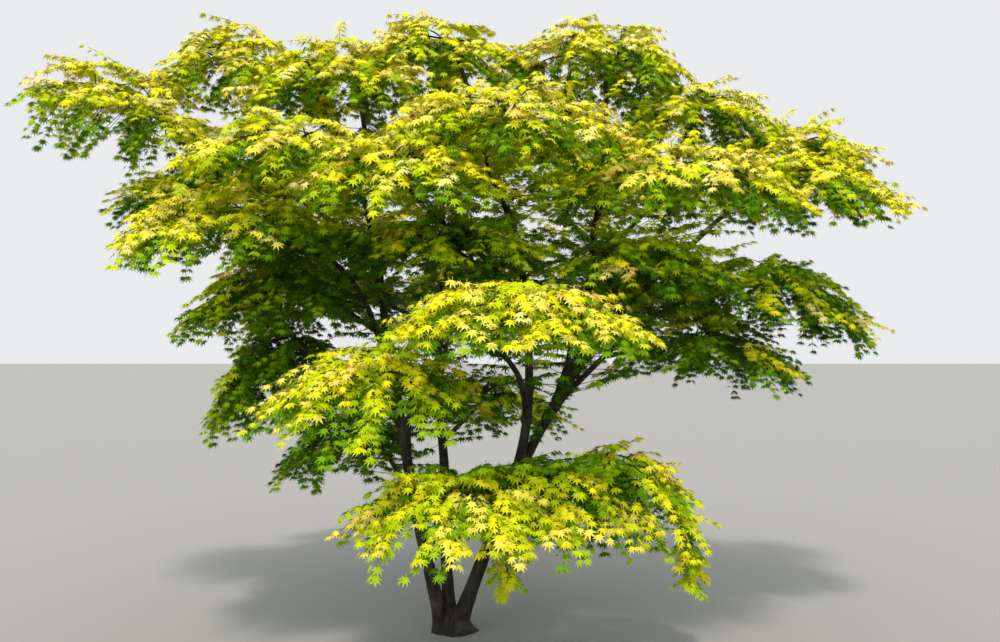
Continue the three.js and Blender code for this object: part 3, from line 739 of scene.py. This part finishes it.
def side_twigs(mass, leader):
    """Pairs of side twigs at the part's shares and angles, carried on past the
    part's reach to near the rim: curves (twig, station, xyz). The part's stem twig
    ends at three quarters of this one."""
    curves = []
    for pair, (part, angle) in enumerate(PAIRS):
        root = leader[int(round(part * 0.75 * (LEADER_STATIONS - 1)))]
        for side in (-1, 1):
            turn = math.radians(float(vary(angle, ANGLE_SPREAD, pair, side, mass["seed"]))) * side
            out = float(vary(REACH, REACH_SPREAD, pair, side + 5, mass["seed"]))
            along = np.array([out, SIDE_END])
            bend = np.array([0, 0.09 * math.sin(pair * 2.1 + side + mass["seed"])])
            ends = mass_point(mass, along * np.cos(turn + bend), along * np.sin(turn + bend),
                              np.array([0.15, 0.05]))
            curves.append(np.concatenate([root[None], ends]))
    return waver(through(np.array(curves), TWIG_STATIONS), 0.005, mass["seed"])


def riser_twigs(mass, leader):
    """Twigs that carry the top layer: from shares of the stem twig up to points
    of the shelf's upper skin, golden angles apart."""
    i = np.arange(RISERS)
    share = 0.28 + 0.085 * i
    roots = leader[(share * (LEADER_STATIONS - 1)).astype(int)]
    phi = i * GOLDEN_ANGLE + mass["seed"]
    rho = vary(0.45, 0.14, i, 21, mass["seed"])
    tips = mass_point(mass, rho * np.cos(phi) + 0.04, rho * np.sin(phi), np.full(RISERS, 0.62))
    bows = 0.55 * roots + 0.45 * tips
    bows[:, 2] += 0.03
    curves = through(np.stack([roots, bows, tips], axis=1), TWIG_STATIONS)
    return waver(curves, 0.004, mass["seed"] + 5)


def mass_twigs(mass, limbs):
    """The stem twig, side twigs and risers of a mass as tubes, the stem twig's own
    stations, and all the twig points that sprays may grow from."""
    leader = stem_twig(mass, limbs)
    sides = side_twigs(mass, leader)
    risers = riser_twigs(mass, leader)
    base = limbs[mass["limb"]]["end"] if mass["share"] == 1 else SIDE_START
    share = np.linspace(0, 1, LEADER_STATIONS)
    twigs = [
        tubes(leader[None], (base * (1 - share) ** 1.7 + LEADER_TIP)[None], 7),
        tapered_tubes(sides, SIDE_RADII, 5),
        tapered_tubes(risers, RISER_RADII, 4),
    ]
    holds = np.concatenate([leader[8::3], sides[:, 2:].reshape(-1, 3), risers[:, 4:].reshape(-1, 3)])
    return twigs, leader, holds


# Sprays: each function gives paths (spray, station, xyz), light and numbers
def spray_curves(root, tip, lift):
    """Bowed twigs: quadratic curves of three stations from root to tip, over a
    middle point that is raised by the lift and moved sideways by a chance share
    of the length."""
    chord = tip - root
    sideways = vary(0, SPRAY_BOW, np.arange(len(root)), 17, 5)[:, None]
    middle = 0.5 * (root + tip) + sideways * np.stack([-chord[:, 1], chord[:, 0], 0 * lift], axis=-1)
    middle[:, 2] += lift
    t = np.linspace(0, 1, 3)[None, :, None]
    return (1 - t) ** 2 * root[:, None] + 2 * (1 - t) * t * middle[:, None] + t ** 2 * tip[:, None]


def spray_targets(mass):
    """Targets of a mass's sprays: a sunflower spiral over the shelf, dealt to its
    layers and drawn in between the rim's lobes, with none where the limb comes in.
    A shelf that falls steeply has more of them, as its surface is larger. Gives the
    number, U, V, depth, distance from the middle, light and hang of each."""
    plan = mass["long"] * mass["wide"]
    count = int(SPRAYS_PER_AREA * math.pi * plan * math.sqrt(1 + 2 * mass["droop"] ** 2 / plan))
    i = np.arange(count)
    seed = mass["seed"]
    layer = np.searchsorted([row[0] for row in LAYERS], chance(i, 11, seed))
    _, level, reach, painted_layer_light, hang = (np.array(column)[layer] for column in zip(*LAYERS))
    phi = i * GOLDEN_ANGLE + seed + vary(0, 0.25, i, 3, seed)
    rim = 1 - RIM_DEPTH * (1 + np.cos(RIM_LOBES * phi + seed + 2.1 * layer)) / 2
    rho = np.sqrt((i + 0.5) / count) * rim * reach
    depth = level + vary(0, LAYER_SPREAD, i, 12, seed)
    U, V = rho * np.cos(phi), rho * np.sin(phi)
    keep = ~((U < -0.5) & (np.abs(V) < 0.2) & (depth < 0.2))
    return tuple(row[keep] for row in (i, U, V, depth, rho, painted_layer_light, hang))


def spray_roots(mass, target, rho, i, holds):
    """The twig point that each spray grows from: the nearest, where points further
    out than its target count as more distant, give or take a little by chance."""
    hold_u, hold_v = mass_place(mass, holds)
    outside = np.maximum(np.hypot(hold_u, hold_v)[None] - rho[:, None], 0)
    away = np.linalg.norm(target[:, None] - holds[None], axis=-1) + 0.5 * outside
    away = away + 0.1 * chance(i[:, None], np.arange(len(holds))[None], mass["seed"])
    return holds[np.argmin(away, axis=1)]


def shelf_sprays(mass, holds):
    """Sprays over a shelf: bowed curves from the twigs to their targets, at least a
    spray's length long and turned a little outwards. Their tips stray, keep to the
    part's box with a little room, don't climb steeply, and hang by layer."""
    i, U, V, depth, rho, painted_layer_light, hang = spray_targets(mass)
    seed = mass["seed"]
    target = mass_point(mass, U, V, depth)
    root = spray_roots(mass, target, rho, i, holds)
    outward = unit(mass_point(mass, U * 1.15 + 0.06, V * 1.15, depth) - target)
    run = unit(target - root + 0.1 * outward)
    length = np.linalg.norm(target - root, axis=-1)
    length = np.maximum(length, vary(SPRAY_LENGTH, LENGTH_SPREAD, i, 5, seed))
    tip = root + unit(run + 0.45 * outward) * length[:, None]
    tip[:, 0] += vary(0, SPRAY_STRAY, i, 15, seed)
    tip[:, 1] += vary(0, SPRAY_STRAY, i, 16, seed)
    low, high = (np.array(corner[:2]) for corner in CAD_BOX)
    tip[:, :2] = np.clip(tip[:, :2], low - TIP_ROOM, high + TIP_ROOM)
    climb = SPRAY_CLIMB * np.linalg.norm(tip[:, :2] - root[:, :2], axis=-1)
    tip[:, 2] = np.minimum(tip[:, 2], np.minimum(target[:, 2], root[:, 2] + climb) + 0.03)
    tip[:, 2] -= 0.008 + hang * mass["middle"][2] / OPEN_HEIGHT + 0.022 * chance(i, 6, seed)
    paths = spray_curves(root, tip, 0.012 + 0.02 * chance(i, 8, seed))
    # Painted light: top layers and outer sprays get more light, so paler leaf colours; lower layers get
    # darker painted shade.
    light = painted_layer_light + 0.3 * (rho - 0.5) + vary(0, LIGHT_SPREAD, i, 9, seed)
    return paths, light, i


def sun_light(points, masses):
    """Light that reaches points: each shelf on the way to the sun takes some off,
    less towards its rim, up to the most that is taken, and low points lose more."""
    to_sun = direction(SUN_TURN - 90, 90 - SUN_TILT)
    shade = np.zeros(len(points))
    for mass in masses.values():
        rise = mass["middle"][2] - points[:, 2]
        U, V = mass_place(mass, points + to_sun * (rise / to_sun[2])[:, None])
        cover = np.clip((1.1 - np.hypot(U, V)) / 0.3, 0, 1)
        shade += cover * np.clip((rise - mass["deep"]) / 0.3, 0, 1)
    low = LOW_SHADE * np.maximum(OPEN_HEIGHT - points[:, 2], 0)
    return OPEN_LIGHT - low - SHELF_SHADE * np.minimum(shade, MOST_SHADE)


def limb_sprays(mass, limbs):
    """Sprays on the outer part of the limb that ends in a mass, on alternate sides,
    leaning towards its tip and upwards, but not above the mass."""
    limb = limbs[mass["limb"]]
    i = np.arange(LIMB_SPRAYS if mass["share"] == 1 else 0)
    seed = mass["seed"] + 60
    share = 0.42 + 0.5 * (i + 0.5) / LIMB_SPRAYS
    root = limb["path"](share)
    along = unit(limb["path"](np.minimum(share + 0.01, 1.0)) - limb["path"](share - 0.01))
    side = np.where(i % 2 == 0, 1.0, -1.0)[:, None] * vary(0.9, 0.3, i, 4, seed)[:, None]
    lift = vary(0.35, 0.45, i, 2, seed)[:, None] * UP
    run = unit(np.array([0.6, 0.6, 0.3]) * along + side * unit(np.cross(along, UP)) + lift)
    tip = root + run * vary(LIMB_REACH, 0.07, i, 5, seed)[:, None]
    tip[:, 2] = np.minimum(tip[:, 2], mass["middle"][2] + 0.3 * mass["deep"])
    light = vary(0.05, 0.3, i, 9, seed)
    return spray_curves(root, tip, 0.01 + 0 * share), light, i + LIMB_FIRST


def turned_sprays(roots, level, reach, seed, first):
    """Sprays golden angles apart round a limb or twig, one from each root, leaning
    up by about the level for each unit out, and numbered from the first."""
    i = np.arange(len(roots))
    turn = i * GOLDEN_ANGLE + seed
    lean = vary(level, 0.3, i, 2, seed)
    run = unit(np.stack([np.cos(turn), np.sin(turn), lean], axis=-1))
    tips = roots + run * vary(reach, 0.3 * reach, i, 5, seed)[:, None]
    light = vary(0.1, 0.34, i, 9, seed)
    return spray_curves(roots, tips, np.full(len(roots), 0.012)), light, i + first


def shoot_sprays(limbs):
    """The rows of shoots, each at equal steps between its shares of its limb."""
    grown = []
    for row, (name, start, end, count) in enumerate(SHOOTS):
        share = start + (end - start) * (np.arange(count) + 0.5) / count
        roots = limbs[name]["path"](share)
        grown.append(turned_sprays(roots, 0.2, SHOOT_REACH, 80 + row, SHOOT_FIRST + SHOOT_ROW * row))
    return tuple(np.concatenate(column) for column in zip(*grown))


def hanging_tuft(tip, holds, seed):
    """A low tuft: one twig that hangs in a quadratic curve from the nearest twig
    point above to its tip, and sprays that hang round its outer half."""
    tip = np.array(tip) * MM
    root = holds[np.argmin(np.linalg.norm((holds - tip) * np.array([1, 1, 0.2]), axis=-1))]
    middle = 0.3 * root + 0.7 * tip + 0.1 * UP
    t = np.linspace(0, 1, TWIG_STATIONS)[:, None]
    twig = (1 - t) ** 2 * root + 2 * (1 - t) * t * middle + t ** 2 * tip
    share = 0.45 + 0.55 * np.arange(TUFT_SPRAYS) / (TUFT_SPRAYS - 1)
    roots = twig[((TWIG_STATIONS - 1) * share).astype(int)]
    return twig, turned_sprays(roots, -0.9, TUFT_REACH, seed, TUFT_FIRST)


# Leaves
def leaf_pattern():
    """One leaf in its own plane, x towards the middle lobe: a long triangle for
    each lobe, across the foot of the blade and drooping to its tip, and the stalk."""
    corners = []
    for k, (turn, length, half) in enumerate(LOBES):
        cos, sin = math.cos(math.radians(turn)), math.sin(math.radians(turn))
        rise = 0.03 * (k % 2)
        corners += [(half * sin, -half * cos, rise), (length * cos, length * sin, -0.16 * length),
                    (-half * sin, half * cos, rise)]
    corners += [(0, 0, 0), (-0.57, 0.03, 0.08), (-0.57, -0.03, 0.08)]
    return np.array(corners), np.arange(len(corners)).reshape(-1, 3)


def leaf_places(paths):
    """Where the leaves of each spray stand, back from its tip: the node, the twig's
    direction there, the node's number, and the turn out from the twig, which is
    none for the leaf at the tip and to both sides for the pair at each node."""
    pairs = [(node, side) for node in range(NODES_PER_SPRAY) for side in (-1, 1)]
    turns = np.array([0.0] + [side * (PAIR_TURN + PAIR_TURN_STEP * node) for node, side in pairs])
    node = np.array([0] + [node for node, _ in pairs])
    along = unit(np.gradient(paths, axis=1))
    length = np.linalg.norm(paths[:, -1] - paths[:, 0], axis=-1)
    back = np.minimum(SPRAY_LENGTH / np.maximum(length, 1e-6), 0.92)[:, None]
    at = (1 - back * np.linspace(0, 1, NODES_PER_SPRAY)[None]) * (paths.shape[1] - 1)
    low = np.minimum(at.astype(int), paths.shape[1] - 2)
    mix = (at - low)[..., None]
    row = np.arange(len(paths))[:, None]
    place = paths[row, low] * (1 - mix) + paths[row, low + 1] * mix
    axis = unit(along[row, low] * (1 - mix) + along[row, low + 1] * mix)
    return place[:, node], axis[:, node], node, turns


def spray_leaves(paths, light, index, seed, pattern):
    """Leaves of all sprays of a mass: the pattern at the end of a stalk that is
    turned out from the twig, pitched down and rolled, each by its own chance, and
    the colour of each face by the spray's light."""
    corners, faces = pattern
    place, axis, node, turns = leaf_places(paths)
    spray = index[:, None]
    leaf = np.arange(len(node))[None]
    turn = np.radians(turns + vary(0, TURN_SPREAD, spray, leaf, seed + 0.1))[..., None]
    pitch = np.radians(vary(PITCH, PITCH_SPREAD, spray, leaf, seed + 0.2))[..., None]
    roll = np.radians(vary(0, ROLL_SPREAD, spray, leaf, seed + 0.3))[..., None]
    aside = unit(np.cross(UP, axis))
    flat = unit(np.cross(aside, UP) + 0.45 * axis)
    ahead = unit(flat * np.cos(turn) + aside * np.sin(turn))
    forward = unit(ahead * np.cos(pitch) - UP * np.sin(pitch))
    level = unit(np.cross(UP, forward))
    side = level * np.cos(roll) + np.cross(forward, level) * np.sin(roll)
    size = LEAF_LENGTH * vary(1, LEAF_SPREAD, spray, leaf, seed + 0.4) * (0.86 + 0.05 * node[None])
    stalk = PETIOLE * vary(1, PETIOLE_SPREAD, spray, leaf, seed + 0.5)
    base = place + ahead * stalk[..., None]
    axes = np.stack([forward, side, np.cross(forward, side)], axis=-2) * size[..., None, None]
    skin = base[:, :, None] + np.einsum("kc,slcx->slkx", corners, axes)
    step = (np.arange(len(paths) * len(node)) * len(corners))[:, None, None]
    # Painted light: the spray's light picks its leaves' colour, pale for painted highlight, darker and
    # greener for painted shade.
    colour = np.digitize(-light, [-limit for _, _, limit in FOLIAGE[:-1]])
    amber = (chance(index, 31, seed) < AMBER_SHARE) & (light > AMBER_LIGHT)
    dealt = np.repeat(np.where(amber, len(FOLIAGE), colour), len(node) * len(faces))
    return skin.reshape(-1, 3), (faces[None] + step).reshape(-1, 3), dealt


# Crown
def mass_parts(name, masses, limbs, pattern):
    """A mass's twigs, as a list of surfaces, and its leaves, as one surface with the
    colour number of each face."""
    mass = masses[name]
    seed = mass["seed"]
    twigs, leader, holds = mass_twigs(mass, limbs)
    start = leader[:LEADER_SPRAYS]
    bare = start[mass_place(mass, start)[0] < BARE_PLACE]
    grown = [
        shelf_sprays(mass, holds),
        limb_sprays(mass, limbs),
        turned_sprays(start[1:], 0.1, LEADER_REACH, seed, LEADER_FIRST),
        turned_sprays(np.repeat(bare, BARE_SPRAYS, axis=0), 0, SHOOT_REACH, seed + 2, BARE_FIRST),
    ]
    if name in TUFTS:
        hanger, tuft = hanging_tuft(TUFTS[name], holds, seed)
        twigs.append(tapered_tubes(hanger[None], TUFT_RADII, 4))
        grown.append(tuft)
    if name == SHOOT_MASS:
        grown.append(shoot_sprays(limbs))
    paths, light, index = (np.concatenate(column) for column in zip(*grown))
    twigs.append(tapered_tubes(paths, SPRAY_RADII, 3))
    # Painted shade: the sun's light, less under shelves and low down, darkens and greens the leaf
    # colours; tufts and open shoots take the even light instead.
    even = index // 1000 == EVEN_THOUSAND
    light = light + np.where(even, EVEN_LIGHT, sun_light(paths[:, -1], masses))
    return twigs, spray_leaves(paths, light, index, seed, pattern)


def sector_pieces(name, masses, limbs, leaves, young_bark, pattern):
    """The joined twigs and the joined leaves of a crown sector."""
    members, slot = SECTORS[name]
    twigs, blades, dealt = [], [], []
    for member in members:
        member_twigs, (corners, faces, colours) = mass_parts(member, masses, limbs, pattern)
        twigs += member_twigs
        blades.append((corners, faces))
        dealt.append(colours)
    wood = mesh_piece("twigs_" + name, *joined(twigs), [young_bark])
    foliage = mesh_piece("leaves_" + name, *joined(blades), leaves, np.concatenate(dealt), False)
    for piece in (wood, foliage):
        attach(piece, "root")
        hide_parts(*members)


# Studio
def studio():
    """A plain pale floor, a pale surrounding light, one warm soft sun high in
    front, and a low broad fill, green like light that has passed through leaves."""
    floor_size = 60.0
    corners = np.array([(-1, -1, 0), (1, -1, 0), (1, 1, 0), (-1, 1, 0)]) * floor_size
    floor_paint = bpy.data.materials.new("pale_floor")
    floor_paint.use_nodes = True
    shader = floor_paint.node_tree.nodes["Principled BSDF"]
    shader.inputs["Base Color"].default_value = (0.34, 0.34, 0.335, 1)
    shader.inputs["Roughness"].default_value = 0.9
    floor = mesh_piece("floor", corners, np.array([(0, 1, 2), (0, 2, 3)]), [floor_paint])
    world = bpy.data.worlds.new("studio_light")
    bpy.context.scene.world = world
    world.use_nodes = True
    sky = world.node_tree.nodes["Background"]
    sky.inputs["Color"].default_value = (0.97, 0.98, 1.0, 1)
    sky.inputs["Strength"].default_value = 0.85
    for name, energy, spread, tilt, colour in LAMPS:
        lamp = bpy.data.lights.new(name, "SUN")
        lamp.energy = energy
        lamp.angle = math.radians(spread)
        lamp.color = colour
        light = bpy.data.objects.new(name, lamp)
        light.rotation_euler = (math.radians(tilt), 0, math.radians(SUN_TURN))
        bpy.context.scene.collection.objects.link(light)
    bpy.context.scene.view_settings.view_transform = "Standard"


def camera():
    """The photograph's view: eye height, level but for a slight lift, 35 mm lens."""
    eye = bpy.data.cameras.new("camera")
    eye.lens = 35.0
    eye.sensor_width = 36.0
    view = bpy.data.objects.new("camera", eye)
    view.location = (0.25, -5.4, 1.6)
    view.rotation_euler = (math.radians(91.12), 0, 0)
    bpy.context.scene.collection.objects.link(view)
    bpy.context.scene.camera = view


# The tree
MASS = {name: mass_record(row) for name, row in MASSES.items()}
LIMBS = grow_limbs(MASS)
GRAIN = bark_group()
OLD_BARK = bark_material("old_bark", GRAIN, (0.006, 0.005, 0.004), (0.027, 0.021, 0.014),
                         (0.07, 0.066, 0.042), 55.0, 0.004)
YOUNG_BARK = bark_material("young_bark", GRAIN, (0.014, 0.011, 0.006), (0.045, 0.038, 0.019),
                           (0.09, 0.1, 0.045), 120.0, 0.001)
LEAVES = [leaf_material(name, colour) for name, colour, _ in FOLIAGE] + [leaf_material(*AMBER)]
PATTERN = leaf_pattern()

root_crown_piece(OLD_BARK)
for number, (limb_name, limb_sizes) in enumerate(LIMBS.items()):
    limb_piece(limb_name, limb_sizes, LIMBS, number, OLD_BARK)
for sector in SECTORS:
    sector_pieces(sector, MASS, LIMBS, LEAVES, YOUNG_BARK, PATTERN)
studio()
camera()
